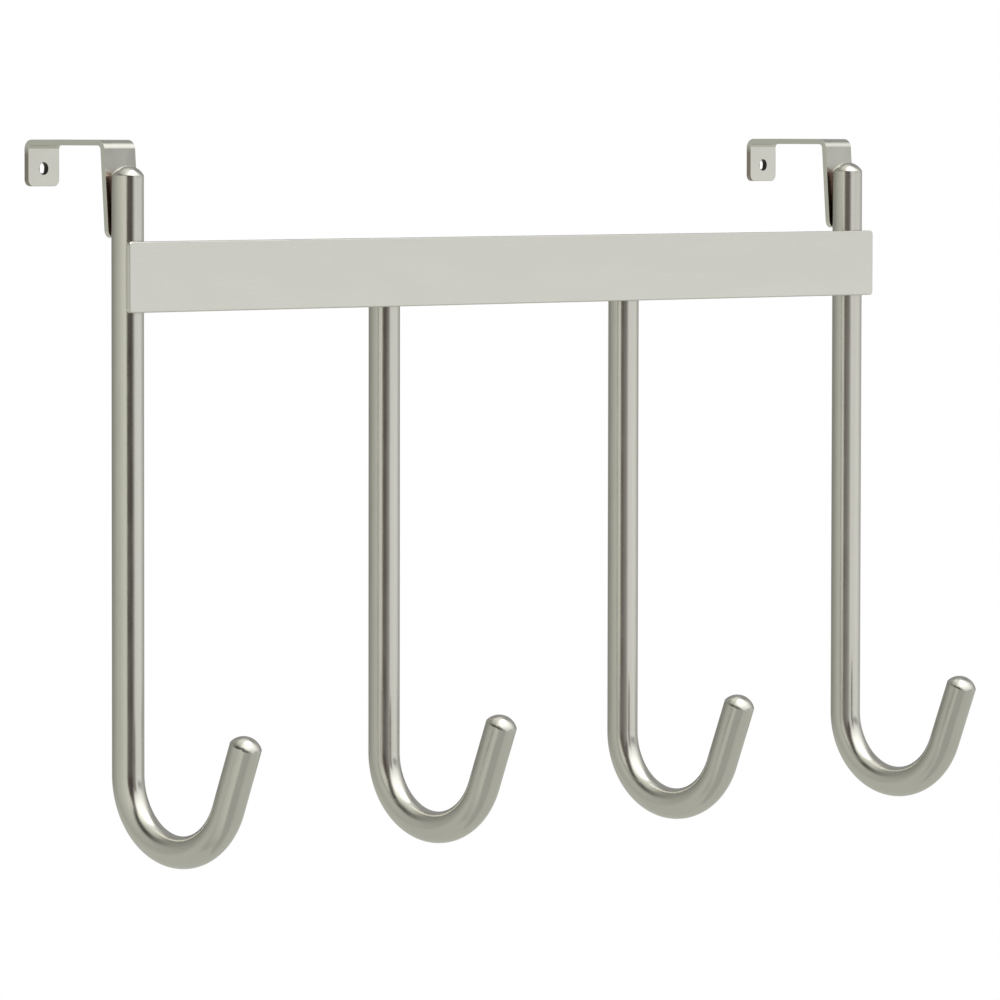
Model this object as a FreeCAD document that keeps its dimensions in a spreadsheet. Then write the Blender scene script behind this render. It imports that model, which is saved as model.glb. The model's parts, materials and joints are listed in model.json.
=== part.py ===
import FreeCAD, Part
import os
import Sketcher
from FreeCAD import Vector
from math import cos, pi, radians, sin, tan

# Over door hook: four J-shaped rods of round bar, a flat cross bar welded across their fronts,
# and two folded strip brackets, welded to the backs of the end rods, that drop over a door.
#
# Frame: X runs along the cross bar, to the right as seen from the room. +Y points through the
# door, away from the room. +Z is up. The origin is midway between the two screw holes, on the
# faces of the rear tabs that lie on the door.

# Driving sizes: name, value in millimetres or degrees, meaning
SIZES = (
    ("rod_diameter", 11.5, "round bar of the hooks"),
    ("rod_spacing", 129, "centre to centre of neighbouring rods"),
    ("shank_length", 214, "end rod's top to the centre of the bend"),
    ("hook_bend_radius", 26, "bend of the hook, to the rod's centre line"),
    ("hook_bend_angle", 159, "turn of the bend, from straight down"),
    ("tip_length", 27.5, "straight tip after the bend"),
    ("rod_crown_radius", 6.5, "ball shape of the rod's ends"),
    ("rod_end_bevel", 1, "bevel of a rod's end that the cross bar hides"),
    ("bar_height", 25, "cross bar, top to bottom"),
    ("bar_thickness", 2, "cross bar, front to back"),
    ("bar_overhang", 6.5, "cross bar past the centre of an end rod"),
    ("bar_drop", 26.5, "end rod's top down to the cross bar's top edge"),
    ("inner_rod_drop", 3, "cross bar's top edge down to an inner rod's top"),
    ("bar_corner_round", 1.5, "corners of the cross bar, seen from the front"),
    ("bar_front_round", 0.5, "front edges of the cross bar"),
    ("strip_width", 15, "bracket strip"),
    ("strip_thickness", 2, "bracket strip"),
    ("strip_bend_radius", 1.5, "inside of the bracket's bends"),
    ("strip_corner_round", 2.5, "corners at the strip's two ends"),
    ("strip_offset", 3.8, "middle of the strip to the right of its rod"),
    ("door_gap", 37, "rear tab to front leg, under the top of the bracket"),
    ("leg_length", 32.5, "front leg, down from the seat on the door"),
    ("leg_lean", 4, "front leg off the vertical, towards the rod"),
    ("tab_length", 14.6, "rear tab, down from the seat on the door"),
    ("seat_rise", 7, "seat on the door above the tops of the end rods"),
    ("screw_hole_drop", 8.3, "screw hole below the seat on the door"),
    ("screw_hole_diameter", 4.3, "hole for a 4 mm screw in the rear tab"),
)
ROD_COUNT = 4
NEAR = 1e-4

# Places that pieces share, as expressions of the sheet's cells
LEAN = "(sizes.leg_lean * 1 deg)"
LEG_SWING = f"sizes.leg_length * sin({LEAN}) + sizes.strip_thickness * cos({LEAN})"
ROD_BACK_Y = f"(-sizes.door_gap - ({LEG_SWING}))"
ROD_TOP_Z = "(sizes.screw_hole_drop - sizes.seat_rise)"
INNER_ROD_CUT = "(sizes.bar_drop + sizes.inner_rod_drop)"

doc = FreeCAD.newDocument("over_door_hook")
sheet = doc.addObject("Spreadsheet::Sheet", "sizes")


def fill_sheet():
    for row, (alias, value, meaning) in enumerate(SIZES, 1):
        sheet.set(f"A{row}", alias)
        sheet.set(f"B{row}", str(value))
        sheet.set(f"C{row}", meaning)
        sheet.setAlias(f"B{row}", alias)
    doc.recompute()


def size(alias):
    return float(sheet.get(alias))


def new_body(label):
    body = doc.addObject("PartDesign::Body", label)
    body.Label = label
    return body


def place(body, x, y, z):
    body.setExpression("Placement.Base.x", x)
    body.setExpression("Placement.Base.y", y)
    body.setExpression("Placement.Base.z", z)


def new_sketch(body, role, name):
    """An empty sketch on one of the body's own origin planes."""
    plane = next(f for f in body.Origin.OriginFeatures if f.Role == role)
    sketch = body.newObject("Sketcher::SketchObject", name)
    sketch.AttachmentSupport = [(plane, "")]
    sketch.MapMode = "FlatFace"
    return sketch


def fix(sketch, kind, *arguments):
    """Adds a constraint that has no size."""
    sketch.addConstraint(Sketcher.Constraint(kind, *arguments))


def drive(sketch, name, expression, kind, *arguments):
    """Adds a dimension and binds it to an expression of the sheet's cells."""
    index = sketch.addConstraint(Sketcher.Constraint(kind, *arguments))
    sketch.renameConstraint(index, name)
    sketch.setExpression(f"Constraints.{name}", expression)


def dress_edges(body, kind, name, amount, wanted):
    """A fillet or a chamfer on the edges of the last feature for which wanted(edge) is true."""
    base = body.Tip
    picked = [f"Edge{number}" for number, edge in enumerate(base.Shape.Edges, 1) if wanted(edge)]
    dressing = body.newObject(f"PartDesign::{kind}", name)
    dressing.Base = (base, picked)
    dressing.setExpression("Radius" if kind == "Fillet" else "Size", amount)
    doc.recompute()


def crosses(direction, thickness):
    """Picks the straight edges along the direction that are as long as the metal is thick."""

    def wanted(edge):
        if not isinstance(edge.Curve, Part.Line) or abs(edge.Length - thickness) > NEAR:
            return False
        return abs(edge.tangentAt(edge.FirstParameter).dot(direction)) > 1 - NEAR

    return wanted


def lies_at(axis, value):
    """Picks the edges whose every point has that x, y or z."""

    def wanted(edge):
        box = edge.BoundBox
        low, high = getattr(box, f"{axis}Min"), getattr(box, f"{axis}Max")
        return abs(low - value) < NEAR and abs(high - value) < NEAR

    return wanted


def draw_hook_path(sketch, shank, shank_size):
    """The rod's centre line: down the shank, round the bend and up the tip."""
    bend = size("hook_bend_radius")
    turn = radians(size("hook_bend_angle"))
    tip = size("tip_length")
    bend_centre = Vector(-bend, -shank, 0)
    bend_end = bend_centre + Vector(bend * cos(turn), -bend * sin(turn), 0)
    tip_end = bend_end + Vector(-tip * sin(turn), -tip * cos(turn), 0)
    circle = Part.Circle(bend_centre, Vector(0, 0, 1), bend)
    sketch.addGeometry(Part.LineSegment(Vector(0, 0, 0), Vector(0, -shank, 0)))
    sketch.addGeometry(Part.ArcOfCircle(circle, -turn, 0))
    sketch.addGeometry(Part.LineSegment(bend_end, tip_end))
    fix(sketch, "Coincident", 0, 1, -1, 1)
    fix(sketch, "Vertical", 0)
    fix(sketch, "Tangent", 0, 2, 1, 2)
    fix(sketch, "Tangent", 1, 1, 2, 1)
    drive(sketch, "shank", shank_size, "DistanceY", 0, 2, 0, 1, shank)
    drive(sketch, "bend", "sizes.hook_bend_radius", "Radius", 1, bend)
    drive(sketch, "tip", "sizes.tip_length", "Distance", 2, tip)
    tip_lean = "180 deg - sizes.hook_bend_angle * 1 deg"
    drive(sketch, "tip_lean", tip_lean, "Angle", -2, 1, 2, 1, pi - turn)


def draw_rod_section(sketch):
    diameter = size("rod_diameter")
    sketch.addGeometry(Part.Circle(Vector(0, 0, 0), Vector(0, 0, 1), diameter / 2))
    fix(sketch, "Coincident", 0, 3, -1, 1)
    drive(sketch, "rod_width", "sizes.rod_diameter", "Diameter", 0, diameter)


def draw_crown(sketch, end, outward, axis, end_point):
    """What is cut off a rod's end to leave it ball-shaped: a square corner less a quarter circle.

    The axis and the end point are elements of the sketch: the rod's centre line and where it ends.
    """
    ball = size("rod_crown_radius")
    aside = Vector(outward.y, -outward.x) * ball
    centre = end - outward * ball
    middle = centre + (outward * ball + aside) * (1 / 2 ** 0.5)
    sketch.addGeometry(Part.LineSegment(end, end + aside))
    sketch.addGeometry(Part.LineSegment(end + aside, centre + aside))
    sketch.addGeometry(Part.Arc(centre + aside, middle, end))
    fix(sketch, "Coincident", 0, 1, *end_point)
    fix(sketch, "Perpendicular", 0, axis)
    fix(sketch, "Coincident", 0, 2, 1, 1)
    fix(sketch, "Parallel", 1, axis)
    fix(sketch, "Tangent", 1, 2, 2, 1)
    fix(sketch, "Coincident", 2, 2, 0, 1)
    fix(sketch, "PointOnObject", 2, 3, axis)
    drive(sketch, "ball", "sizes.rod_crown_radius", "Radius", 2, ball)


def crown_end(body, sketch, name, axis):
    """Turns a rod's end to its ball shape about the axis, and checks how much that cuts away."""
    before = body.Tip.Shape.Volume
    crown = body.newObject("PartDesign::Groove", name)
    crown.Profile = sketch
    crown.ReferenceAxis = axis
    crown.Angle = 360
    doc.recompute()
    ball = size("rod_crown_radius")
    rod = size("rod_diameter") / 2
    height = ball - (ball ** 2 - rod ** 2) ** 0.5
    cut = pi * rod ** 2 * height - pi * height ** 2 * (ball - height / 3)
    if abs(before - crown.Shape.Volume - cut) > 0.001 * cut:
        raise RuntimeError(f"{name} takes away the wrong volume")


def make_hook_rod(number):
    """A J-shaped hook of round bar, with ball-shaped ends. An inner one stops behind the cross bar."""
    label = f"hook_rod_{number}"
    body = new_body(label)
    shank = size("shank_length")
    shank_size = "sizes.shank_length"
    top = ROD_TOP_Z
    inner = 1 < number < ROD_COUNT
    if inner:
        shank -= size("bar_drop") + size("inner_rod_drop")
        shank_size = f"sizes.shank_length - {INNER_ROD_CUT}"
        top = f"{ROD_TOP_Z} - {INNER_ROD_CUT}"
    path = new_sketch(body, "YZ_Plane", f"{label}_path")
    draw_hook_path(path, shank, shank_size)
    section = new_sketch(body, "XY_Plane", f"{label}_section")
    draw_rod_section(section)
    doc.recompute()
    rod = body.newObject("PartDesign::AdditivePipe", f"{label}_sweep")
    rod.Profile = section
    rod.Spine = (path, ["Edge1", "Edge2", "Edge3"])
    doc.recompute()
    tip = new_sketch(body, "YZ_Plane", f"{label}_tip_profile")
    tip.addExternal(path.Name, "Edge3")
    tip_line = path.Geometry[2]
    tip_end = tip_line.EndPoint
    outward = (tip_end - tip_line.StartPoint).normalize()
    draw_crown(tip, tip_end, outward, -3, (-3, 2))
    doc.recompute()
    crown_end(body, tip, f"{label}_tip", (path, ["Edge3"]))
    if inner:
        dress_edges(body, "Chamfer", f"{label}_top", "sizes.rod_end_bevel", lies_at("Z", 0))
    else:
        head = new_sketch(body, "YZ_Plane", f"{label}_top_profile")
        draw_crown(head, Vector(0, 0, 0), Vector(0, 1, 0), -2, (-1, 1))
        doc.recompute()
        crown_end(body, head, f"{label}_top", (head, ["V_Axis"]))
    across = f"{number - (ROD_COUNT + 1) / 2} * sizes.rod_spacing - sizes.strip_offset"
    place(body, across, f"{ROD_BACK_Y} - sizes.rod_diameter / 2", top)
    return body


def draw_bar_outline(sketch):
    """A rectangle hung from the horizontal axis and centred on the vertical one."""
    half = (ROD_COUNT - 1) * size("rod_spacing") / 2 + size("bar_overhang")
    height = size("bar_height")
    corners = [Vector(-half, -height), Vector(half, -height), Vector(half, 0), Vector(-half, 0)]
    for start, end in zip(corners, corners[1:] + corners[:1]):
        sketch.addGeometry(Part.LineSegment(start, end))
    for side in range(4):
        fix(sketch, "Coincident", side, 2, (side + 1) % 4, 1)
        fix(sketch, "Vertical" if side % 2 else "Horizontal", side)
    fix(sketch, "Symmetric", 2, 1, 2, 2, -1, 1)
    half_bar = f"{ROD_COUNT - 1} * sizes.rod_spacing / 2 + sizes.bar_overhang"
    drive(sketch, "half_bar", half_bar, "DistanceX", -1, 1, 2, 1, half)
    drive(sketch, "bar_side", "sizes.bar_height", "DistanceY", 1, 1, 1, 2, height)


def make_cross_bar():
    """The flat bar across the fronts of the rods, with rounded corners and front edges."""
    body = new_body("cross_bar")
    outline = new_sketch(body, "XZ_Plane", "bar_outline")
    draw_bar_outline(outline)
    doc.recompute()
    bar = body.newObject("PartDesign::Pad", "bar_blank")
    bar.Profile = outline
    bar.setExpression("Length", "sizes.bar_thickness")
    doc.recompute()
    thickness = size("bar_thickness")
    corners = crosses(Vector(0, 1, 0), thickness)
    dress_edges(body, "Fillet", "bar_corners", "sizes.bar_corner_round", corners)
    dress_edges(body, "Fillet", "bar_front", "sizes.bar_front_round", lies_at("Y", -thickness))
    front = f"{ROD_BACK_Y} - sizes.rod_diameter"
    place(body, "-sizes.strip_offset", front, f"{ROD_TOP_Z} - sizes.bar_drop")
    return body


def draw_strip_profile(sketch):
    """The folded strip from the side: rear tab, top and front leg, with its two bends.

    The sketch's horizontal axis points to the rear and its origin is the screw hole's.
    """
    gap = size("door_gap")
    thick = size("strip_thickness")
    inner = size("strip_bend_radius")
    outer = inner + thick
    lean = radians(size("leg_lean"))
    seat = size("screw_hole_drop")
    tab_end = seat - size("tab_length")
    setback = inner * tan(pi / 4 - lean / 2)
    leg_turn = pi - lean
    rear_centre = Vector(-inner, seat - inner)
    front_centre = Vector(setback - gap, seat - inner)
    towards_leg = Vector(cos(leg_turn), sin(leg_turn))
    down_leg = Vector(-sin(lean), -cos(lean)) * (size("leg_length") - setback)
    leg_back = front_centre + towards_leg * inner
    leg_front = front_centre + towards_leg * outer
    up = Vector(0, 1)
    rear = Vector(1, 0)

    def line(start, end):
        return Part.LineSegment(start, end)

    def bend(centre, radius, start, end):
        return Part.ArcOfCircle(Part.Circle(centre, Vector(0, 0, 1), radius), start, end)

    outline = (
        line(Vector(0, tab_end), rear_centre + rear * inner),
        bend(rear_centre, inner, 0, pi / 2),
        line(rear_centre + up * inner, front_centre + up * inner),
        bend(front_centre, inner, pi / 2, leg_turn),
        line(leg_back, leg_back + down_leg),
        line(leg_back + down_leg, leg_front + down_leg),
        line(leg_front + down_leg, leg_front),
        bend(front_centre, outer, pi / 2, leg_turn),
        line(front_centre + up * outer, rear_centre + up * outer),
        bend(rear_centre, outer, 0, pi / 2),
        line(rear_centre + rear * outer, Vector(thick, tab_end)),
        line(Vector(thick, tab_end), Vector(0, tab_end)),
    )
    tab, tab_bend, seat_line, leg_bend, leg, leg_end = range(6)
    leg_face, leg_crown, top, tab_crown, tab_face, tab_foot = range(6, 12)
    for element in outline:
        sketch.addGeometry(element)
    fix(sketch, "Tangent", tab, 2, tab_bend, 1)
    fix(sketch, "Tangent", tab_bend, 2, seat_line, 1)
    fix(sketch, "Tangent", seat_line, 2, leg_bend, 1)
    fix(sketch, "Tangent", leg_bend, 2, leg, 1)
    fix(sketch, "Coincident", leg, 2, leg_end, 1)
    fix(sketch, "Perpendicular", leg, leg_end)
    fix(sketch, "Coincident", leg_end, 2, leg_face, 1)
    fix(sketch, "Tangent", leg_face, 2, leg_crown, 2)
    fix(sketch, "Tangent", leg_crown, 1, top, 1)
    fix(sketch, "Tangent", top, 2, tab_crown, 2)
    fix(sketch, "Tangent", tab_crown, 1, tab_face, 1)
    fix(sketch, "Coincident", tab_face, 2, tab_foot, 1)
    fix(sketch, "Coincident", tab_foot, 2, tab, 1)
    fix(sketch, "Coincident", tab_bend, 3, tab_crown, 3)
    fix(sketch, "Coincident", leg_bend, 3, leg_crown, 3)
    fix(sketch, "Equal", tab_bend, leg_bend)
    fix(sketch, "Parallel", leg, leg_face)
    for level in (seat_line, top, tab_foot):
        fix(sketch, "Horizontal", level)
    for upright in (tab, tab_face):
        fix(sketch, "Vertical", upright)
    fix(sketch, "PointOnObject", tab, 1, -2)
    setback_size = f"sizes.strip_bend_radius * tan(45 deg - {LEAN} / 2)"
    leg_size = f"sizes.leg_length - {setback_size}"
    gap_size = f"sizes.door_gap - {setback_size}"
    drive(sketch, "thickness", "sizes.strip_thickness", "Distance", tab_foot, thick)
    drive(sketch, "inner_bend", "sizes.strip_bend_radius", "Radius", tab_bend, inner)
    drive(sketch, "seat", "sizes.screw_hole_drop", "DistanceY", -1, 1, seat_line, 1, seat)
    drive(sketch, "tab", "sizes.tab_length", "DistanceY", tab, 1, seat_line, 1, seat - tab_end)
    drive(sketch, "gap", gap_size, "DistanceX", leg_bend, 3, tab, 1, gap - setback)
    drive(sketch, "leg", leg_size, "Distance", leg, size("leg_length") - setback)
    drive(sketch, "leg_lean", f"90 deg + {LEAN}", "Angle", leg, 1, seat_line, 2, pi / 2 + lean)


def draw_screw_hole(sketch):
    diameter = size("screw_hole_diameter")
    sketch.addGeometry(Part.Circle(Vector(0, 0, 0), Vector(0, 0, 1), diameter / 2))
    fix(sketch, "Coincident", 0, 3, -1, 1)
    drive(sketch, "hole_width", "sizes.screw_hole_diameter", "Diameter", 0, diameter)


def make_bracket(label, rod_number):
    """A strip folded over the door, with a screw hole in its rear tab."""
    body = new_body(label)
    profile = new_sketch(body, "YZ_Plane", f"{label}_profile")
    draw_strip_profile(profile)
    doc.recompute()
    strip = body.newObject("PartDesign::Pad", f"{label}_strip")
    strip.Profile = profile
    strip.setExpression("Length", "sizes.strip_width")
    strip.SideType = "Symmetric"
    doc.recompute()
    lean = radians(size("leg_lean"))
    through_tab = crosses(Vector(0, 1, 0), size("strip_thickness"))
    through_leg = crosses(Vector(0, -cos(lean), sin(lean)), size("strip_thickness"))
    dress_edges(body, "Fillet", f"{label}_tab_corners", "sizes.strip_corner_round", through_tab)
    dress_edges(body, "Fillet", f"{label}_leg_corners", "sizes.strip_corner_round", through_leg)
    before = body.Tip.Shape.Volume
    circle = new_sketch(body, "XZ_Plane", f"{label}_hole_centre")
    draw_screw_hole(circle)
    doc.recompute()
    hole = body.newObject("PartDesign::Pocket", f"{label}_hole")
    hole.Profile = circle
    hole.setExpression("Length", "sizes.strip_thickness")
    doc.recompute()
    drilled = pi * size("screw_hole_diameter") ** 2 / 4 * size("strip_thickness")
    if abs(before - body.Shape.Volume - drilled) > NEAR * drilled:
        raise RuntimeError(f"{label}: the screw hole takes away the wrong volume")
    place(body, f"{rod_number - (ROD_COUNT + 1) / 2} * sizes.rod_spacing", "0", "0")
    return body


def check(bodies):
    """Stops where an object failed or a piece has no valid solid."""
    for item in doc.Objects:
        if "Invalid" in item.State or "Error" in item.State:
            raise RuntimeError(f"{item.Label} failed: {item.State}")
    for body in bodies:
        if body.Shape.isNull() or not body.Shape.isValid() or len(body.Shape.Solids) != 1:
            raise RuntimeError(f"{body.Label} is not one valid solid")


fill_sheet()
pieces = [make_hook_rod(number) for number in range(1, ROD_COUNT + 1)]
pieces.append(make_cross_bar())
pieces.append(make_bracket("left_bracket", 1))
pieces.append(make_bracket("right_bracket", ROD_COUNT))
doc.recompute()
check(pieces)
os.makedirs("parts", exist_ok=True)
for piece in pieces:
    piece.Shape.exportStep(f"parts/{piece.Label}.step")
    box = piece.Shape.optimalBoundingBox()
    corners = (box.XMin, box.YMin, box.ZMin, box.XMax, box.YMax, box.ZMax)
    print(piece.Label, "volume", round(piece.Shape.Volume), "box", [round(c, 2) for c in corners])
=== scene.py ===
import json
from math import acos, atan2, cos, pi, radians, sin, tan

import bmesh
import bpy
from mathutils import Matrix, Vector


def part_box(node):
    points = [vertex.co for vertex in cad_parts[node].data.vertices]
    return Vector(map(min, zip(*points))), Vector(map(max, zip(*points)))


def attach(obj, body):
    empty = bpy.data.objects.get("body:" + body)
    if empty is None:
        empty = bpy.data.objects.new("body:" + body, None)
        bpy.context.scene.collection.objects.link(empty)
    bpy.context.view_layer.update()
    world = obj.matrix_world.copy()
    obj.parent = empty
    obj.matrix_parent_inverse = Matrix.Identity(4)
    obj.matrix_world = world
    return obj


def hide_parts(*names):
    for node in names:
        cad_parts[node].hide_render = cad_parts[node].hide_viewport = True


# Over door hook in satin nickel: four J-shaped rods, a flat cross bar and two folded strip brackets.
# Metres, in the frame of the model: X along the bar, +Y through the door, +Z up, and the origin
# midway between the screw holes in the rear tabs.

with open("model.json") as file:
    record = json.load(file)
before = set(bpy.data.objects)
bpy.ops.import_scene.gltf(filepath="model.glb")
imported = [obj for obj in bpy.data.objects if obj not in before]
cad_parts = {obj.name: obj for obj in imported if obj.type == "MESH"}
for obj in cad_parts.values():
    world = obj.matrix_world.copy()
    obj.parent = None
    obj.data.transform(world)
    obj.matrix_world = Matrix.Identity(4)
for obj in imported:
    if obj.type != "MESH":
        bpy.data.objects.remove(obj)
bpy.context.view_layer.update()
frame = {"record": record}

# Sizes that the boxes of the pieces don't give
HOOK_BEND_RADIUS = 0.026
HOOK_BEND_ANGLE = radians(159)
TIP_LENGTH = 0.0275
ROD_CROWN_RADIUS = 0.0065
ROD_SHOULDER_ROUND = 0.0005
ROD_END_BEVEL = 0.001
BAR_CORNER_ROUND = 0.0015
BAR_FRONT_ROUND = 0.0005
BAR_BACK_ROUND = 0.0004
STRIP_THICKNESS = 0.002
STRIP_BEND_RADIUS = 0.0015
STRIP_CORNER_ROUND = 0.0025
STRIP_EDGE_ROUND = 0.0004
DOOR_GAP = 0.037
LEG_LENGTH = 0.0325
LEG_LEAN = radians(4)
TAB_LENGTH = 0.0146
# How far the round surfaces stay inside the boxes of the model, whose faces are flat
SKIN = 0.00002

# An extra ring this far from each change of a rod's shape keeps the shading of its straight parts even
HOLD = 0.0008

# How finely the pieces are divided
ROD_SIDES = 96
BEND_STEPS = 108
END_STEPS = 10
FOLD_STEPS = 12
CORNER_STEPS = 8
EDGE_STEPS = 4
STRIP_COLUMNS = 8
STRAIGHT_STEPS = 4
# A rod's crown starts this steeply, so that a small flat circle closes its middle
CROWN_START = radians(88)
# The faces round a screw hole have a corner this far along the tab's sides, as a share of the tab
TAB_MARK = 0.7
# Edges of the folded strip that turn by more than this are rounded
SHARP_ANGLE = radians(50)

# The brushing follows a map that lays each piece out flat, in metres along it and across it
GRAIN_UV = "grain"
GRAIN_DEPTH = 0.000002
GRAIN_RELIEF = 0.12
NOISE_ROUGHNESS = 0.6
NOISE_CONTRAST = 0.2
SHINE_SPREAD = 0.02

# Painted shade: the metal turns a dull brown where another surface is close, which the share of open sky
# above it tells
CORNER_REACH = 0.006
PAINTED_CORNER_SHADE = (0.47, 0.385, 0.34)
CORNER_OPEN = (0.30, 0.72)
CORNER_SAMPLES = 16

# The walls of the punched screw holes carry painted shade, near black, and the strip's cut faces round the
# tabs are darker than the strip, though paler than the holes. The blur is how wide the change is at a cut's
# edge, and the fade is how long it is where a tab ends
HOLE_PAINTED_SHADE = (0.045, 0.038, 0.034)
CUT_TONE = (0.33, 0.30, 0.26)
CUT_BLUR = 0.0002
CUT_FADE = 0.004

# The camera of the photograph, in degrees and metres
CAMERA_PLACE = (-1.9757, -1.9060, 0.0172)
CAMERA_BEARING = 46.644
CAMERA_PITCH = -2.965
CAMERA_ROLL = 0.090
FOCAL_PIXELS = 7321
IMAGE_PIXELS = 1000
SENSOR_WIDTH = 36

FLOOR_Z = -1.25
FLOOR_REACH = 3

# The light tent that the metal mirrors: a dome round the rack. Its tones are linear, and its bearings
# are in degrees from +Y towards +X. The camera looks in through a dark gap, whose right edge slants in
# under the roof, and which goes on to the left as a dark seam between the wall and the roof. A band is
# where a change starts and where it ends, in degrees.
TENT_RADIUS = 4.5
TENT_WALL = ((0, 0.31), (75, 0.50), (95, 0.60), (115, 0.85), (132, 1.05), (155, 1.02), (190, 0.85),
             (250, 0.78), (280, 0.69), (300, 0.60), (330, 0.44), (360, 0.31))
TENT_DIMMED_FOOT_BAND = (0, 3)
TENT_DIMMED_HEAD_BAND = (14, 9)
TENT_DIMMED = ((0, 0.8), (45, 0.4), (75, 0.5), (100, 0.9), (126, 0.64), (138, 0.28), (190, 0.6), (250, 1),
               (330, 1), (360, 0.8))
TENT_ROOF = ((0, 0.35), (60, 0.40), (88, 0.30), (102, 0.45), (120, 1.40), (150, 1.80), (215, 1.80),
             (240, 1.40), (255, 0.85), (270, 0.55), (300, 0.52), (330, 0.40), (360, 0.35))
TENT_ROOF_BAND = (12, 44)
TENT_TOP = 1.2
TENT_TOP_BAND = (50, 88)
TENT_FLOOR = 0.62
TENT_FLOOR_BAND = (-6, -16)
TENT_LEVELS = (-89, -60, -40, -26, -16, -11, -6, 0, 3, 9, 15, 20) + tuple(range(24, 63, 3)) + (68, 76, 83, 89)
TENT_STEP = 3
TENT_ABOVE_FLOOR = 0.05
GAP_TONE = ((180, 0.08), (212, 0.08), (250, 0.20), (360, 0.20))
GAP_FOOT = 0.50
GAP_FOOT_BAND = (-6, -26)
GAP_LEFT = 250
GAP_RIGHT = ((9, 186), (25, 200), (44, 224))
GAP_END = 44
SEAM_FOOT = 29
SEAM_HEAD = ((228, 42), (250, 45), (270, 49), (290, 51), (330, 51))
SEAM_RIGHT_BAND = (222, 232)
SEAM_LEFT_BAND = (335, 285)
SEAM_TONE = 0.04

# How far from their edges the gap and the seam begin and are full, in degrees
GAP_LEFT_SOFT = (4, -2)
GAP_RIGHT_SOFT = (-2, 6)
GAP_END_SOFT = (4, -4)
SEAM_FOOT_SOFT = (-3, 3)
SEAM_HEAD_SOFT = (4, -2)

# The tent's left side has a tint of its own, between these bearings
LEFT_SIDE_FROM, LEFT_SIDE_TO = 226, 20
LEFT_TINT = (1, 1.02, 0.94)
RIGHT_TINT = (1, 1.01, 1)
EDGE_TINT = (1, 0.955, 0.944)
GAP_TINT = (1, 0.81, 0.75)
FLOOR_TINT = (1, 1.02, 0.955)

# Cards in the tent: the plan of each, its lowest and highest points, and its tones along the plan
LEFT_CARD = ((-0.402, -0.239), (-0.47, -0.16), (-0.56, 0.0), (-0.72, 0.15))
LEFT_CARD_HEIGHT = (-0.8, 0.07)
LEFT_CARD_TONES = (1.0, 0.92, 0.77, 0.69)
LEFT_CARD_LEAN = 0.3
LEFT_CARD_FOOT = 0.6
RIGHT_CARD = ((-0.223, -0.896), (-0.17, -0.95), (-0.08, -1.0), (0.30, -1.15))
RIGHT_CARD_HEIGHT = (-0.36, 0.15)
RIGHT_CARD_EDGE_TONES = (0.40, 0.62)
RIGHT_CARD_TONES = (0.90, 0.96)
DIM_CARD = ((-0.262, -0.352), (-0.24, -0.62), (-0.223, -0.896))
DIM_CARD_HEIGHT = (-0.36, -0.05)
DIM_CARD_TONES = (0.23, 0.33, 0.46)

# Lights that reach more than the reflections
LAMP_PLACE = (0.2, -0.5, 1.3)
LAMP_TARGET = (0, -0.1, -0.1)
LAMP_SIZE = (0.9, 0.7)
LAMP_RADIANCE = 1.8
WORLD_STRENGTH = 0.9
FLOOR_WHITE = 0.95
# How much of the floor, where it is seen, is plain white and not its lit cloth
FLOOR_SEEN_WHITE = 0.7


# Metal

def nodes_of(name):
    material = bpy.data.materials.new(name)
    material.use_nodes = True
    tree = material.node_tree
    tree.nodes.clear()
    return material, tree


def add(tree, kind, **settings):
    node = tree.nodes.new(kind)
    for key, value in settings.items():
        setattr(node, key, value)
    return node


def grain_noise(tree, length_cells, width_cells, detail):
    """Noise in the piece's own grain map, so many cells to the metre along it and across it."""
    grain = add(tree, "ShaderNodeUVMap", uv_map=GRAIN_UV)
    stretch = add(tree, "ShaderNodeMapping")
    stretch.inputs["Scale"].default_value = (length_cells, width_cells, 1)
    noise = add(tree, "ShaderNodeTexNoise", noise_dimensions="2D")
    noise.inputs["Scale"].default_value = 1
    noise.inputs["Detail"].default_value = detail
    noise.inputs["Roughness"].default_value = NOISE_ROUGHNESS
    tree.links.new(grain.outputs["UV"], stretch.inputs["Vector"])
    tree.links.new(stretch.outputs["Vector"], noise.inputs["Vector"])
    return noise.outputs["Fac"]


def spread(tree, value, low, high):
    """A noise value, which lies about one half, brought to between low and high."""
    remap = add(tree, "ShaderNodeMapRange")
    remap.inputs["From Min"].default_value = 0.5 - NOISE_CONTRAST
    remap.inputs["From Max"].default_value = 0.5 + NOISE_CONTRAST
    remap.inputs["To Min"].default_value = low
    remap.inputs["To Max"].default_value = high
    tree.links.new(value, remap.inputs["Value"])
    return remap.outputs["Result"]


def mix_colors(tree, share, first, second):
    """The first colour where the share is 0, and the second where it is 1. Each is a value or an output."""
    mix = add(tree, "ShaderNodeMix", data_type="RGBA")
    for name, color in (("A", first), ("B", second)):
        if isinstance(color, tuple):
            mix.inputs[name].default_value = (*color, 1)
        else:
            tree.links.new(color, mix.inputs[name])
    tree.links.new(share, mix.inputs["Factor"])
    return mix.outputs["Result"]


def fade(tree, value, start, end):
    """From 0 at the start to 1 at the end, without a crease."""
    remap = add(tree, "ShaderNodeMapRange", interpolation_type="SMOOTHSTEP")
    remap.inputs["From Min"].default_value = start
    remap.inputs["From Max"].default_value = end
    tree.links.new(value, remap.inputs["Value"])
    return remap.outputs["Result"]


def openness(tree):
    """0 in a close corner and 1 in the open."""
    sky = add(tree, "ShaderNodeAmbientOcclusion", samples=CORNER_SAMPLES)
    sky.inputs["Distance"].default_value = CORNER_REACH
    return fade(tree, sky.outputs["AO"], *CORNER_OPEN)


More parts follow.
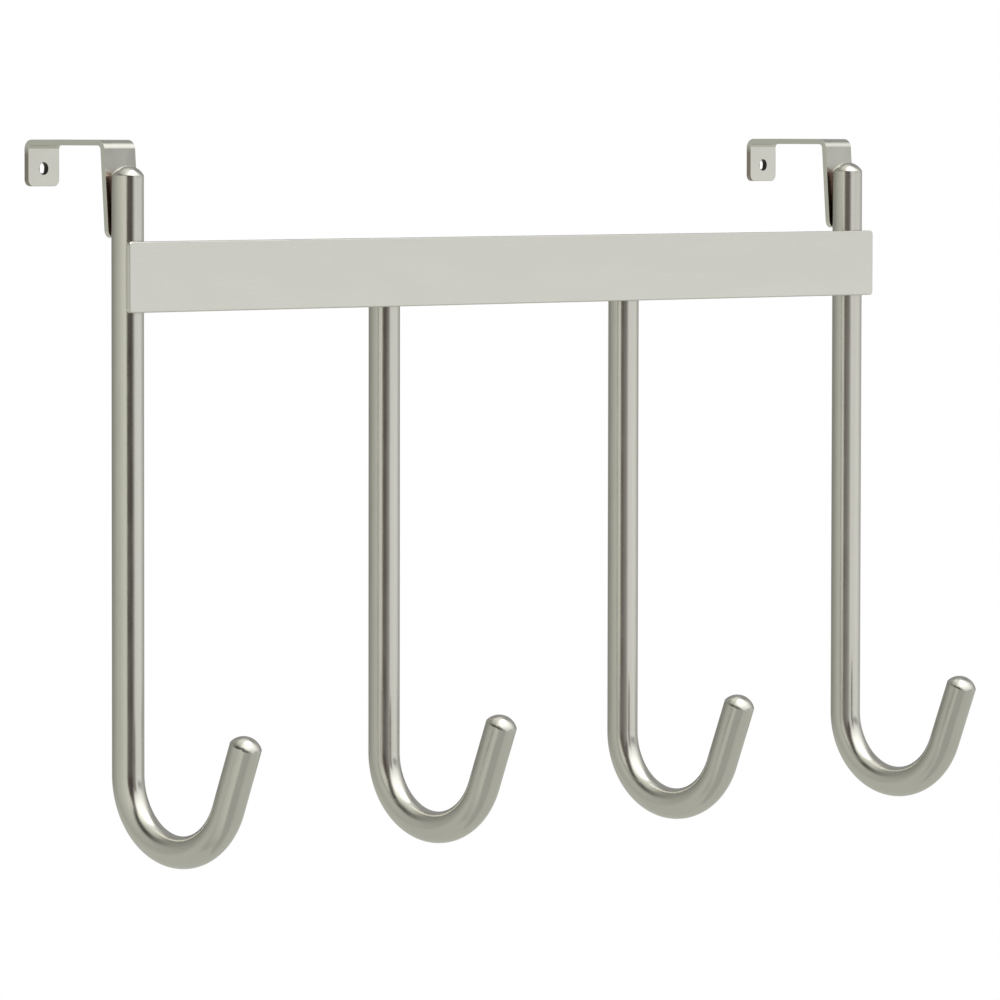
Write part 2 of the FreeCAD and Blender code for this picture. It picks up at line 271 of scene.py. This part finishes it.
def vector_math(tree, operation, vector, *others):
    """One step of arithmetic on an output that is a vector, with the other vectors given as values."""
    step = add(tree, "ShaderNodeVectorMath", operation=operation)
    tree.links.new(vector, step.inputs[0])
    for place, other in enumerate(others, 1):
        step.inputs[place].default_value = other
    return step.outputs["Value" if operation in ("DISTANCE", "LENGTH") else "Vector"]


def multiply(tree, first, second):
    """The product of two outputs."""
    product = add(tree, "ShaderNodeMath", operation="MULTIPLY")
    tree.links.new(first, product.inputs[0])
    tree.links.new(second, product.inputs[1])
    return product.outputs["Value"]


def in_hole(tree, grain, hole_run):
    """1 on the wall of the screw hole, whose middle lies hole_run from the end of the blank."""
    reach = vector_math(tree, "DISTANCE", grain, (hole_run, 0, 0))
    radius = screw_hole_radius()
    return fade(tree, reach, radius + CUT_BLUR, radius + CUT_BLUR / 4)


def on_tab_outline(tree, grain, width):
    """1 on the cut faces round the tab, which are places on the outline of the flat blank."""
    corner = (STRIP_CORNER_ROUND, STRIP_CORNER_ROUND - width / 2, 0)
    mirrored = vector_math(tree, "ABSOLUTE", grain)
    from_corner = vector_math(tree, "MULTIPLY_ADD", mirrored, (-1, 1, 0), corner)
    reach = vector_math(tree, "LENGTH", vector_math(tree, "MAXIMUM", from_corner, (0, 0, 0)))
    on_outline = fade(tree, reach, STRIP_CORNER_ROUND - CUT_BLUR, STRIP_CORNER_ROUND - CUT_BLUR / 4)
    run = add(tree, "ShaderNodeSeparateXYZ")
    tree.links.new(grain, run.inputs["Vector"])
    return multiply(tree, on_outline, fade(tree, run.outputs["X"], TAB_LENGTH, TAB_LENGTH - CUT_FADE))


def hole_shade_and_dark_cuts(tree, color, width, hole_run):
    """The strip's colour, with painted shade on the screw hole's wall, and darker on the cut faces round the
    tab.
    """
    grain = add(tree, "ShaderNodeUVMap", uv_map=GRAIN_UV).outputs["UV"]
    # Painted shade: the wall of the screw hole is near black
    color = mix_colors(tree, in_hole(tree, grain, hole_run), color, HOLE_PAINTED_SHADE)
    return mix_colors(tree, on_tab_outline(tree, grain, width), color, CUT_TONE)


def satin_nickel(name, color, roughness, lines, cloud, shift, anisotropy=0, cuts=None):
    """Plated metal, brushed along its length, with faint clouds in its polish and painted shade in close
    corners.

    The lines and the cloud are cells to the metre, along the piece and across it. The cuts are the
    strip's width, and how far its screw hole is from the end of the blank.
    """
    material, tree = nodes_of(name)
    output = add(tree, "ShaderNodeOutputMaterial")
    metal = add(tree, "ShaderNodeBsdfPrincipled")
    metal.inputs["Metallic"].default_value = 1
    metal.inputs["Anisotropic"].default_value = anisotropy
    brush = grain_noise(tree, *lines, detail=3)
    haze = grain_noise(tree, *cloud, detail=2)
    darker = tuple(part * (1 - shift) for part in color)
    lighter = tuple(part * (1 + shift) for part in color)
    tint = mix_colors(tree, spread(tree, haze, 0, 1), darker, lighter)
    # Painted shade: a dull brown in close corners and between parts
    tint = mix_colors(tree, openness(tree), PAINTED_CORNER_SHADE, tint)
    if cuts:
        tint = hole_shade_and_dark_cuts(tree, tint, *cuts)
    tree.links.new(tint, metal.inputs["Base Color"])
    shine = add(tree, "ShaderNodeMath", operation="ADD")
    tree.links.new(spread(tree, brush, -SHINE_SPREAD, SHINE_SPREAD), shine.inputs[0])
    tree.links.new(spread(tree, haze, roughness - SHINE_SPREAD, roughness + SHINE_SPREAD), shine.inputs[1])
    tree.links.new(shine.outputs["Value"], metal.inputs["Roughness"])
    if anisotropy:
        tangent = add(tree, "ShaderNodeTangent", direction_type="UV_MAP", uv_map=GRAIN_UV)
        tree.links.new(tangent.outputs["Tangent"], metal.inputs["Tangent"])
    relief = add(tree, "ShaderNodeBump")
    relief.inputs["Strength"].default_value = GRAIN_RELIEF
    relief.inputs["Distance"].default_value = GRAIN_DEPTH
    tree.links.new(brush, relief.inputs["Height"])
    tree.links.new(relief.outputs["Normal"], metal.inputs["Normal"])
    tree.links.new(metal.outputs["BSDF"], output.inputs["Surface"])
    return material


def rod_nickel():
    return satin_nickel("rod_nickel", (0.61, 0.595, 0.545), 0.21, lines=(40, 2600), cloud=(60, 260),
                        shift=0.02)


def bar_nickel():
    return satin_nickel("bar_nickel", (0.71, 0.70, 0.65), 0.30, lines=(60, 7000), cloud=(25, 90),
                        shift=0.008, anisotropy=0.3)


def strip_nickel():
    low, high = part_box("left_bracket")
    cuts = (high.x - low.x, -tab_end(high))
    return satin_nickel("strip_nickel", (0.68, 0.67, 0.615), 0.22, lines=(90, 7000), cloud=(60, 90),
                        shift=0.015, cuts=cuts)


# Meshes

def finish_piece(name, mesh, material, node):
    """A smooth piece that stands for a node of the model and rides with it."""
    for face in mesh.polygons:
        face.use_smooth = True
    piece = bpy.data.objects.new(name, mesh)
    bpy.context.scene.collection.objects.link(piece)
    mesh.materials.append(material)
    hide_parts(node)
    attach(piece, "root")
    return piece


def apply_modifiers(piece):
    """Puts the result of the modifiers into the piece's own mesh."""
    graph = bpy.context.evaluated_depsgraph_get()
    mesh = bpy.data.meshes.new_from_object(piece.evaluated_get(graph))
    piece.modifiers.clear()
    old = piece.data
    piece.data = mesh
    bpy.data.meshes.remove(old)
    mesh.name = piece.name


def weigh_normals(piece):
    """Keeps wide flat faces flat where they meet a narrow rounded edge."""
    weigh = piece.modifiers.new("weigh", "WEIGHTED_NORMAL")
    weigh.weight = 100
    weigh.keep_sharp = True


def rod_path(top, centre_z):
    """Centre line of a hook rod: (distance along it, point in the YZ plane, direction) from top to tip."""
    stations = []
    straight = top - centre_z
    for run in (0, straight / 3, straight * 2 / 3, straight - HOLD, straight):
        stations.append((run, Vector((0, 0, top - run)), Vector((0, 0, -1))))
    for step in range(1, BEND_STEPS + 1):
        turn = HOOK_BEND_ANGLE * step / BEND_STEPS
        point = Vector((0, -HOOK_BEND_RADIUS * (1 - cos(turn)), centre_z - HOOK_BEND_RADIUS * sin(turn)))
        stations.append((straight + HOOK_BEND_RADIUS * turn, point, Vector((0, -sin(turn), -cos(turn)))))
    length, point, direction = stations[-1]
    for run in (HOLD, TIP_LENGTH / 2, TIP_LENGTH):
        stations.append((length + run, point + direction * run, direction))
    return stations


def crowned_end(radius):
    """(setback from the end, radius) of rings from the middle of a ball-shaped end to its shoulder."""
    ball, shoulder = ROD_CROWN_RADIUS, ROD_SHOULDER_ROUND
    meet = acos((radius - shoulder) / (ball - shoulder))
    rings = []
    for step in range(END_STEPS + 1):
        turn = CROWN_START + (meet - CROWN_START) * step / END_STEPS
        rings.append((ball - ball * sin(turn), ball * cos(turn)))
    setback = ball - (ball - shoulder) * sin(meet)
    for step in range(1, EDGE_STEPS + 1):
        turn = meet * (1 - step / EDGE_STEPS)
        rings.append((setback - shoulder * sin(turn), radius - shoulder * (1 - cos(turn))))
    return rings + [(setback + HOLD, radius)]


def bevelled_end(radius):
    """The same rings for a flat end with a bevel, which the bar hides."""
    return [(0, radius - ROD_END_BEVEL), (ROD_END_BEVEL, radius), (ROD_END_BEVEL + HOLD, radius)]


def rod_rings(radius, stations, inner):
    """(distance, centre, direction, radius) of each ring of the rod, with its two ends."""
    start, end = stations[0], stations[-1]
    top = bevelled_end(radius) if inner else crowned_end(radius)
    tip = crowned_end(radius)[::-1]
    rings = [(start[0] + back, start[1] + start[2] * back, start[2], r) for back, r in top]
    for distance, point, direction in stations[1:-1]:
        rings.append((distance, point, direction, radius))
    rings += [(end[0] - back, end[1] - end[2] * back, end[2], r) for back, r in tip]
    return rings


def rod_rows(made, rings, axis):
    """The vertices of each ring of a rod."""
    across = Vector((1, 0, 0))
    rows = []
    for distance, centre, direction, ring_radius in rings:
        side = direction.cross(across)
        row = []
        for step in range(ROD_SIDES):
            turn = 2 * pi * step / ROD_SIDES - pi / 2
            offset = (across * cos(turn) + side * sin(turn)) * ring_radius
            row.append(made.verts.new(axis + centre + offset))
        rows.append(row)
    return rows


def skin_rod(made, rings, rows, girth):
    """The faces of a rod, with a grain map that follows its bend."""
    grain = made.loops.layers.uv.new(GRAIN_UV)
    for first in range(len(rows) - 1):
        upper, lower = rows[first], rows[first + 1]
        for step in range(ROD_SIDES):
            after = (step + 1) % ROD_SIDES
            face = made.faces.new((upper[step], upper[after], lower[after], lower[step]))
            corners = ((first, step), (first, step + 1), (first + 1, step + 1), (first + 1, step))
            for loop, (ring, column) in zip(face.loops, corners):
                loop[grain].uv = (rings[ring][0], girth * column / ROD_SIDES)
    for outline in (rows[0][::-1], rows[-1]):
        face = made.faces.new(outline)
        for loop in face.loops:
            loop[grain].uv = (loop.vert.co.x, loop.vert.co.y)


def hook_rod(number, material):
    """A rod swept ring by ring. The two inner rods have a plain top, which the bar hides."""
    node = f"hook_rod_{number}"
    low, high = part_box(node)
    radius = (high.x - low.x) / 2 - SKIN
    axis = Vector(((high.x + low.x) / 2, high.y - SKIN - radius, 0))
    centre_z = low.z + SKIN + HOOK_BEND_RADIUS + radius
    rings = rod_rings(radius, rod_path(high.z, centre_z), inner=1 < number < 4)
    made = bmesh.new()
    skin_rod(made, rings, rod_rows(made, rings, axis), 2 * pi * radius)
    bmesh.ops.recalc_face_normals(made, faces=made.faces)
    mesh = bpy.data.meshes.new(node)
    made.to_mesh(mesh)
    made.free()
    return finish_piece(f"rod_{number}", mesh, material, node)


def rounded_rectangle(width, height, radius):
    """Points of a rectangle about the origin with round corners."""
    points = []
    for corner in range(4):
        sign_x = 1 if corner in (0, 3) else -1
        sign_z = 1 if corner in (0, 1) else -1
        centre = Vector((sign_x * (width / 2 - radius), sign_z * (height / 2 - radius)))
        for step in range(CORNER_STEPS + 1):
            turn = pi / 2 * (corner + step / CORNER_STEPS)
            points.append(centre + Vector((cos(turn), sin(turn))) * radius)
    return points


def cross_bar(material):
    """The flat bar: outlines of one rounded rectangle, drawn in where its edges are rounded."""
    low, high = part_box("cross_bar")
    size = high - low
    middle = (high + low) / 2
    levels = []
    for step in range(EDGE_STEPS + 1):
        turn = pi / 2 * step / EDGE_STEPS
        levels.append((BAR_FRONT_ROUND * (1 - sin(turn)), low.y + BAR_FRONT_ROUND * (1 - cos(turn))))
    for step in range(EDGE_STEPS + 1):
        turn = pi / 2 * step / EDGE_STEPS
        levels.append((BAR_BACK_ROUND * (1 - cos(turn)), high.y - BAR_BACK_ROUND * (1 - sin(turn))))
    made = bmesh.new()
    grain = made.loops.layers.uv.new(GRAIN_UV)
    rows = []
    for inset, y in levels:
        outline = rounded_rectangle(size.x - 2 * inset, size.z - 2 * inset, BAR_CORNER_ROUND - inset)
        rows.append([made.verts.new((middle.x + p.x, y, middle.z + p.y)) for p in outline])
    count = len(rows[0])
    for upper, lower in zip(rows, rows[1:]):
        for step in range(count):
            after = (step + 1) % count
            made.faces.new((upper[step], upper[after], lower[after], lower[step]))
    made.faces.new(rows[0])
    made.faces.new(rows[-1][::-1])
    bmesh.ops.recalc_face_normals(made, faces=made.faces)
    for face in made.faces:
        for loop in face.loops:
            loop[grain].uv = (loop.vert.co.x, loop.vert.co.z)
    mesh = bpy.data.meshes.new("cross_bar")
    made.to_mesh(mesh)
    made.free()
    piece = finish_piece("bar", mesh, material, "cross_bar")
    weigh_normals(piece)
    apply_modifiers(piece)
    return piece


class Fold:
    """The strip's middle surface from the side, from the end of the tab to the end of the leg."""

    def __init__(self, seat_z, tab_end_z):
        middle = STRIP_THICKNESS / 2
        self.radius = STRIP_BEND_RADIUS + middle
        self.setback = STRIP_BEND_RADIUS * tan(pi / 4 - LEG_LEAN / 2)
        self.tab = seat_z - STRIP_BEND_RADIUS - tab_end_z
        self.top = DOOR_GAP - STRIP_BEND_RADIUS - self.setback
        self.leg = LEG_LENGTH - self.setback
        self.rear_turn = self.radius * pi / 2
        self.front_turn = self.radius * (pi / 2 - LEG_LEAN)
        self.rear_centre = Vector((-STRIP_BEND_RADIUS, seat_z - STRIP_BEND_RADIUS))
        self.front_centre = Vector((-DOOR_GAP + self.setback, seat_z - STRIP_BEND_RADIUS))
        self.tab_end = Vector((middle, tab_end_z))
        self.length = self.tab + self.rear_turn + self.top + self.front_turn + self.leg

    def point(self, s):
        """(y, z) at the distance s from the end of the tab."""
        if s <= self.tab:
            return self.tab_end + Vector((0, s))
        s -= self.tab
        if s <= self.rear_turn:
            turn = s / self.radius
            return self.rear_centre + Vector((cos(turn), sin(turn))) * self.radius
        s -= self.rear_turn
        if s <= self.top:
            return self.rear_centre + Vector((-s, self.radius))
        s -= self.top
        if s <= self.front_turn:
            turn = pi / 2 + s / self.radius
            return self.front_centre + Vector((cos(turn), sin(turn))) * self.radius
        s -= self.front_turn
        out = pi - LEG_LEAN
        start = self.front_centre + Vector((cos(out), sin(out))) * self.radius
        return start + Vector((-sin(LEG_LEAN), -cos(LEG_LEAN))) * s

    def rows(self):
        """Distances of the cross lines of the blank: close together in the bends."""
        marks = [self.tab]
        for length, steps in ((self.rear_turn, FOLD_STEPS), (self.top, STRAIGHT_STEPS),
                              (self.front_turn, FOLD_STEPS), (self.leg - STRIP_CORNER_ROUND, STRAIGHT_STEPS)):
            start = marks[-1]
            marks += [start + length * step / steps for step in range(1, steps + 1)]
        return marks


def half_width(s, length, width):
    """Half the blank's width at s, where its corners are rounded."""
    left = min(s, length - s)
    if left >= STRIP_CORNER_ROUND:
        return width / 2
    cut = STRIP_CORNER_ROUND - left
    return width / 2 - STRIP_CORNER_ROUND + (STRIP_CORNER_ROUND ** 2 - cut ** 2) ** 0.5


def tab_outline(fold, width):
    """(s, x) of points round the tab, from one end of its first cross line to the other by its free end."""
    points = []
    for step in range(STRIP_COLUMNS + 1):
        points.append((fold.tab, width / 2 - width * step / STRIP_COLUMNS))
    points.append((fold.tab * TAB_MARK, -width / 2))
    for step in range(CORNER_STEPS + 1):
        turn = pi / 2 * step / CORNER_STEPS
        points.append((STRIP_CORNER_ROUND * (1 - sin(turn)),
                       -width / 2 + STRIP_CORNER_ROUND * (1 - cos(turn))))
    for step in range(CORNER_STEPS + 1):
        turn = pi / 2 * (1 - step / CORNER_STEPS)
        points.append((STRIP_CORNER_ROUND * (1 - sin(turn)),
                       width / 2 - STRIP_CORNER_ROUND * (1 - cos(turn))))
    points.append((fold.tab * TAB_MARK, width / 2))
    return points


def tab_end(high):
    """The height of the tab's free end, from the highest corner of the bracket's box."""
    return high.z - STRIP_THICKNESS - TAB_LENGTH


def strip_blank(fold, width, hole_run, hole_radius):
    """The flat blank in (s, x): a ring of faces round the screw hole, then rows to the end of the leg."""
    made = bmesh.new()
    outline = tab_outline(fold, width)
    outer = [made.verts.new((s, x, 0)) for s, x in outline]
    inner = []
    for s, x in outline:
        turn = atan2(x, s - hole_run)
        inner.append(made.verts.new((hole_run + hole_radius * cos(turn), hole_radius * sin(turn), 0)))
    for step in range(len(outer)):
        after = (step + 1) % len(outer)
        made.faces.new((outer[step], outer[after], inner[after], inner[step]))
    marks = fold.rows()
    previous = outer[:STRIP_COLUMNS + 1]
    ends = [fold.length - STRIP_CORNER_ROUND * (1 - sin(pi / 2 * step / CORNER_STEPS))
            for step in range(1, CORNER_STEPS + 1)]
    for s in marks[1:] + ends:
        half = half_width(s, fold.length, width)
        row = []
        for step in range(STRIP_COLUMNS + 1):
            row.append(made.verts.new((s, half - 2 * half * step / STRIP_COLUMNS, 0)))
        for step in range(STRIP_COLUMNS):
            made.faces.new((previous[step], row[step], row[step + 1], previous[step + 1]))
        previous = row
    return made


def bracket(side, material):
    """A strip bracket folded from a flat blank, then given its thickness and its rounded edges."""
    node = f"{side}_bracket"
    low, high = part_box(node)
    width = high.x - low.x
    middle = (high.x + low.x) / 2
    fold = Fold(high.z - STRIP_THICKNESS, tab_end(high))
    made = strip_blank(fold, width, -tab_end(high), screw_hole_radius())
    grain = made.loops.layers.uv.new(GRAIN_UV)
    for face in made.faces:
        for loop in face.loops:
            loop[grain].uv = (loop.vert.co.x, loop.vert.co.y)
    for vertex in made.verts:
        y, z = fold.point(vertex.co.x)
        vertex.co = Vector((middle + vertex.co.y, y, z))
    bmesh.ops.recalc_face_normals(made, faces=made.faces)
    mesh = bpy.data.meshes.new(node)
    made.to_mesh(mesh)
    made.free()
    piece = finish_piece(f"{side}_strip", mesh, material, node)
    thick = piece.modifiers.new("thick", "SOLIDIFY")
    thick.thickness = STRIP_THICKNESS
    thick.offset = 0
    thick.use_even_offset = True
    edge = piece.modifiers.new("edge", "BEVEL")
    edge.width = STRIP_EDGE_ROUND
    edge.segments = EDGE_STEPS
    edge.limit_method = "ANGLE"
    edge.angle_limit = SHARP_ANGLE
    weigh_normals(piece)
    apply_modifiers(piece)
    return piece


def screw_hole_radius():
    """The radius that the record gives for the screw holes, from millimetres."""
    holes = next(mount for mount in frame["record"]["mounts"] if mount["name"] == "screw_holes")
    return holes["dims"]["hole_r_mm"] / 1000


# Studio

def lit_by_tone(name):
    """Light of its own, in the tone painted on each corner of the mesh."""
    material, tree = nodes_of(name)
    output = add(tree, "ShaderNodeOutputMaterial")
    tone = add(tree, "ShaderNodeVertexColor", layer_name="tone")
    emission = add(tree, "ShaderNodeEmission")
    tree.links.new(tone.outputs["Color"], emission.inputs["Color"])
    tree.links.new(emission.outputs["Emission"], output.inputs["Surface"])
    return material


def only_mirrored(name, corners, faces, colors):
    """Part of the studio that only the metal's reflections show, with a colour for each corner."""
    mesh = bpy.data.meshes.new(name)
    mesh.from_pydata(corners, [], faces)
    paint = mesh.color_attributes.new("tone", "FLOAT_COLOR", "POINT")
    for spot, color in zip(paint.data, colors):
        spot.color = (*color, 1)
    mesh.materials.append(lit_by_tone(name))
    card = bpy.data.objects.new(name, mesh)
    bpy.context.scene.collection.objects.link(card)
    card.visible_camera = False
    card.visible_diffuse = False
    card.visible_transmission = False
    card.visible_shadow = False


def tinted(tone, tint):
    return Vector(tint) * tone


def tinted_row(tones, tint):
    return [tinted(tone, tint) for tone in tones]


def standing_card(name, plan, low, high, colors, lean=0, foot=1):
    """A card that stands along the points of its plan, with a colour at each of them.

    Its top leans out by a share of its distance from the origin, and its foot can be dimmer.
    """
    corners = [(x, y, low) for x, y in plan]
    corners += [(x * (1 + lean), y * (1 + lean), high) for x, y in plan]
    count = len(plan)
    faces = [(step, step + 1, count + step + 1, count + step) for step in range(count - 1)]
    only_mirrored(name, corners, faces, [color * foot for color in colors] + colors)


def along(marks, place):
    """The value at a place between marks of (place, value), in straight lines from one to the next."""
    for (first, low), (second, high) in zip(marks, marks[1:]):
        if first <= place <= second:
            return low + (high - low) * (place - first) / (second - first)


def ramp(value, start, end):
    """From 0 at the start to 1 at the end, and no further."""
    return min(max((value - start) / (end - start), 0), 1)


def soft_edge(value, edge, soft):
    """From 0 at the first distance from the edge to 1 at the second."""
    return ramp(value, edge + soft[0], edge + soft[1])


def clamped(marks, place):
    """The value between marks, with the first value before them and the last one after them."""
    return along(marks, min(max(place, marks[0][0]), marks[-1][0]))


def open_color(bearing, elevation, tint):
    """Walls between the floor and the roof, dimmer above eye level."""
    wall = along(TENT_WALL, bearing)
    if elevation <= 0:
        return tinted(wall, tint).lerp(tinted(TENT_FLOOR, FLOOR_TINT), ramp(elevation, *TENT_FLOOR_BAND))
    dimmed = ramp(elevation, *TENT_DIMMED_FOOT_BAND) * ramp(elevation, *TENT_DIMMED_HEAD_BAND)
    wall *= 1 + (along(TENT_DIMMED, bearing) - 1) * dimmed
    roof = along(TENT_ROOF, bearing)
    roof += (TENT_TOP - roof) * ramp(elevation, *TENT_TOP_BAND)
    return tinted(wall + (roof - wall) * ramp(elevation, *TENT_ROOF_BAND), tint)


def gap_color(bearing, elevation):
    """The dark gap, which is paler at its foot."""
    foot = ramp(elevation, *GAP_FOOT_BAND)
    return tinted(clamped(GAP_TONE, bearing), GAP_TINT).lerp(tinted(GAP_FOOT, FLOOR_TINT), foot)


def tent_color(bearing, elevation):
    """The open tent, with the gap and its seam darkened."""
    left_side = bearing > LEFT_SIDE_FROM or bearing < LEFT_SIDE_TO
    color = open_color(bearing, elevation, LEFT_TINT if left_side else RIGHT_TINT)
    in_gap = soft_edge(bearing, clamped(GAP_RIGHT, elevation), GAP_RIGHT_SOFT)
    in_gap *= soft_edge(bearing, GAP_LEFT, GAP_LEFT_SOFT) * soft_edge(elevation, GAP_END, GAP_END_SOFT)
    color = color.lerp(gap_color(bearing, elevation), in_gap)
    in_seam = ramp(bearing, *SEAM_RIGHT_BAND) * ramp(bearing, *SEAM_LEFT_BAND)
    in_seam *= soft_edge(elevation, SEAM_FOOT, SEAM_FOOT_SOFT)
    in_seam *= soft_edge(elevation, clamped(SEAM_HEAD, bearing), SEAM_HEAD_SOFT)
    return color.lerp(tinted(SEAM_TONE, GAP_TINT), in_seam)


def light_tent():
    """A dome that keeps above the floor, with a colour on each corner of its faces."""
    bearings = range(0, 360, TENT_STEP)
    corners, colors, faces = [], [], []
    for elevation in TENT_LEVELS:
        rise = radians(elevation)
        reach = TENT_RADIUS
        if elevation < 0:
            reach = min(reach, (FLOOR_Z + TENT_ABOVE_FLOOR) / sin(rise))
        for bearing in bearings:
            turn = radians(bearing)
            corners.append((sin(turn) * cos(rise) * reach, cos(turn) * cos(rise) * reach, sin(rise) * reach))
            colors.append(tent_color(bearing, elevation))
    count = len(bearings)
    for level in range(len(TENT_LEVELS) - 1):
        for column in range(count):
            after = (column + 1) % count
            faces.append((level * count + column, level * count + after,
                          (level + 1) * count + after, (level + 1) * count + column))
    only_mirrored("light_tent", corners, faces, colors)


def seen_directly(tree):
    """1 for rays from the camera, and for those that metal or glass sends on."""
    path = add(tree, "ShaderNodeLightPath")
    first = add(tree, "ShaderNodeMath", operation="MAXIMUM")
    second = add(tree, "ShaderNodeMath", operation="MAXIMUM")
    tree.links.new(path.outputs["Is Camera Ray"], first.inputs[0])
    tree.links.new(path.outputs["Is Glossy Ray"], first.inputs[1])
    tree.links.new(first.outputs["Value"], second.inputs[0])
    tree.links.new(path.outputs["Is Transmission Ray"], second.inputs[1])
    return second.outputs["Value"]


def make_floor():
    """A pale floor, white where it is seen, that keeps a soft shadow."""
    material, tree = nodes_of("pale_floor")
    output = add(tree, "ShaderNodeOutputMaterial")
    cloth = add(tree, "ShaderNodeBsdfDiffuse")
    cloth.inputs["Color"].default_value = (FLOOR_WHITE, FLOOR_WHITE, FLOOR_WHITE, 1)
    white = add(tree, "ShaderNodeEmission")
    white.inputs["Strength"].default_value = 1
    mix = add(tree, "ShaderNodeMixShader")
    share = add(tree, "ShaderNodeMath", operation="MULTIPLY")
    share.inputs[1].default_value = FLOOR_SEEN_WHITE
    tree.links.new(seen_directly(tree), share.inputs[0])
    tree.links.new(share.outputs["Value"], mix.inputs["Fac"])
    tree.links.new(cloth.outputs["BSDF"], mix.inputs[1])
    tree.links.new(white.outputs["Emission"], mix.inputs[2])
    tree.links.new(mix.outputs["Shader"], output.inputs["Surface"])
    mesh = bpy.data.meshes.new("floor")
    corners = [(x * FLOOR_REACH, y * FLOOR_REACH, FLOOR_Z) for x, y in ((-1, -1), (1, -1), (1, 1), (-1, 1))]
    mesh.from_pydata(corners, [], [(0, 1, 2, 3)])
    mesh.materials.append(material)
    floor = bpy.data.objects.new("floor", mesh)
    bpy.context.scene.collection.objects.link(floor)


def make_world():
    """Even white light, and a white background."""
    world = bpy.data.worlds.new("studio")
    world.use_nodes = True
    tree = world.node_tree
    tree.nodes.clear()
    output = add(tree, "ShaderNodeOutputWorld")
    light = add(tree, "ShaderNodeBackground")
    light.inputs["Color"].default_value = (1, 1, 1, 1)
    light.inputs["Strength"].default_value = WORLD_STRENGTH
    backdrop = add(tree, "ShaderNodeBackground")
    backdrop.inputs["Color"].default_value = (1, 1, 1, 1)
    backdrop.inputs["Strength"].default_value = 1
    mix = add(tree, "ShaderNodeMixShader")
    tree.links.new(seen_directly(tree), mix.inputs["Fac"])
    tree.links.new(light.outputs["Background"], mix.inputs[1])
    tree.links.new(backdrop.outputs["Background"], mix.inputs[2])
    tree.links.new(mix.outputs["Shader"], output.inputs["Surface"])
    bpy.context.scene.world = world


def softbox(name, place, target, width, height, radiance):
    """A rectangular lamp, whose power follows from how bright its face is to be."""
    lamp = bpy.data.lights.new(name, "AREA")
    lamp.shape = "RECTANGLE"
    lamp.size = width
    lamp.size_y = height
    lamp.energy = radiance * pi * width * height
    box = bpy.data.objects.new(name, lamp)
    box.location = place
    box.rotation_euler = (Vector(target) - Vector(place)).to_track_quat("-Z", "Y").to_euler()
    bpy.context.scene.collection.objects.link(box)


def make_camera():
    """The camera of the photograph."""
    data = bpy.data.cameras.new("camera")
    data.sensor_width = SENSOR_WIDTH
    data.lens = SENSOR_WIDTH * FOCAL_PIXELS / IMAGE_PIXELS
    data.clip_end = 50
    camera = bpy.data.objects.new("camera", data)
    turn = Matrix.Rotation(-radians(CAMERA_BEARING), 4, "Z")
    tilt = Matrix.Rotation(pi / 2 + radians(CAMERA_PITCH), 4, "X")
    roll = Matrix.Rotation(radians(CAMERA_ROLL), 4, "Z")
    camera.matrix_world = Matrix.Translation(CAMERA_PLACE) @ turn @ tilt @ roll
    bpy.context.scene.collection.objects.link(camera)
    bpy.context.scene.camera = camera


def make_cards():
    """A card on each side of the dark gap, and a dim one in it, so that the far rods mirror it less dark."""
    standing_card("left_card", LEFT_CARD, *LEFT_CARD_HEIGHT, tinted_row(LEFT_CARD_TONES, LEFT_TINT),
                  lean=LEFT_CARD_LEAN, foot=LEFT_CARD_FOOT)
    right_colors = tinted_row(RIGHT_CARD_EDGE_TONES, EDGE_TINT) + tinted_row(RIGHT_CARD_TONES, RIGHT_TINT)
    standing_card("right_card", RIGHT_CARD, *RIGHT_CARD_HEIGHT, right_colors)
    standing_card("dim_card", DIM_CARD, *DIM_CARD_HEIGHT, tinted_row(DIM_CARD_TONES, EDGE_TINT))


def make_studio():
    """Even light and a floor, and for the metal to mirror, a light tent with cards in it."""
    make_world()
    make_floor()
    light_tent()
    make_cards()
    softbox("top_lamp", LAMP_PLACE, LAMP_TARGET, *LAMP_SIZE, LAMP_RADIANCE)


rod_material = rod_nickel()
for number in range(1, 5):
    hook_rod(number, rod_material)
cross_bar(bar_nickel())
strip_material = strip_nickel()
for side in ("left", "right"):
    bracket(side, strip_material)

make_studio()
make_camera()
bpy.context.scene.view_settings.view_transform = "Standard"
